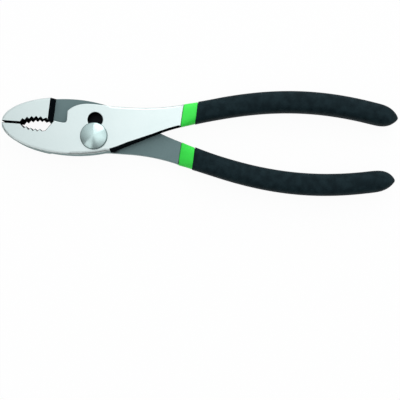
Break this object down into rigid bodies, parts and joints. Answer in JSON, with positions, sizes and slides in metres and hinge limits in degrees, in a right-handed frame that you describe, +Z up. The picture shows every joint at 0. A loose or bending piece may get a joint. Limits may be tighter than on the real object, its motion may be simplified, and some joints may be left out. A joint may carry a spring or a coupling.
{
  "type": "slip-joint pliers",
  "caption": "Hand pliers whose lapped steel halves turn on a domed bolt in a slip slot, with flat tips, a toothed pipe grip, a wire notch and dipped green and black handle grips.",
  "frame": {"origin": "on the bolt's axis, on the flat end of the bolt's tail, which lies on the bench with the grips", "axes": "+X from the bolt towards the handle ends along the tool's axis, +Y from the lower jaw towards the upper jaw, +Z up from the bench towards the bolt's domed head"},
  "size_m": [0.2001, 0.053, 0.0134],
  "materials": {
    "ground_steel": "satin ground and plated outside, dark matt lap faces",
    "bolt_steel": "satin turned dome",
    "nut_steel": "bright zinc",
    "green_vinyl": "satin dipped vinyl",
    "black_vinyl": "satin dipped vinyl"
  },
  "bodies": {
    "front_half": {"front_lever": "ground_steel", "front_grip_liner": "green_vinyl", "front_grip_cover": "black_vinyl"},
    "pivot": {"pivot_bolt": "bolt_steel", "pivot_nut": "nut_steel"},
    "rear_half": {"rear_lever": "ground_steel", "rear_grip_liner": "green_vinyl", "rear_grip_cover": "black_vinyl"}
  },
  "joints": [
    {"name": "slip", "type": "slide", "parent": "front_half", "child": "pivot", "axis": [0, 1, 0], "range_m": [0, 0.0083]},
    {"name": "jaw_pivot", "type": "hinge", "parent": "pivot", "child": "rear_half", "pos_m": [0, 0, 0], "axis": [0, 0, -1], "range_deg": [0, 60]}
  ]
}
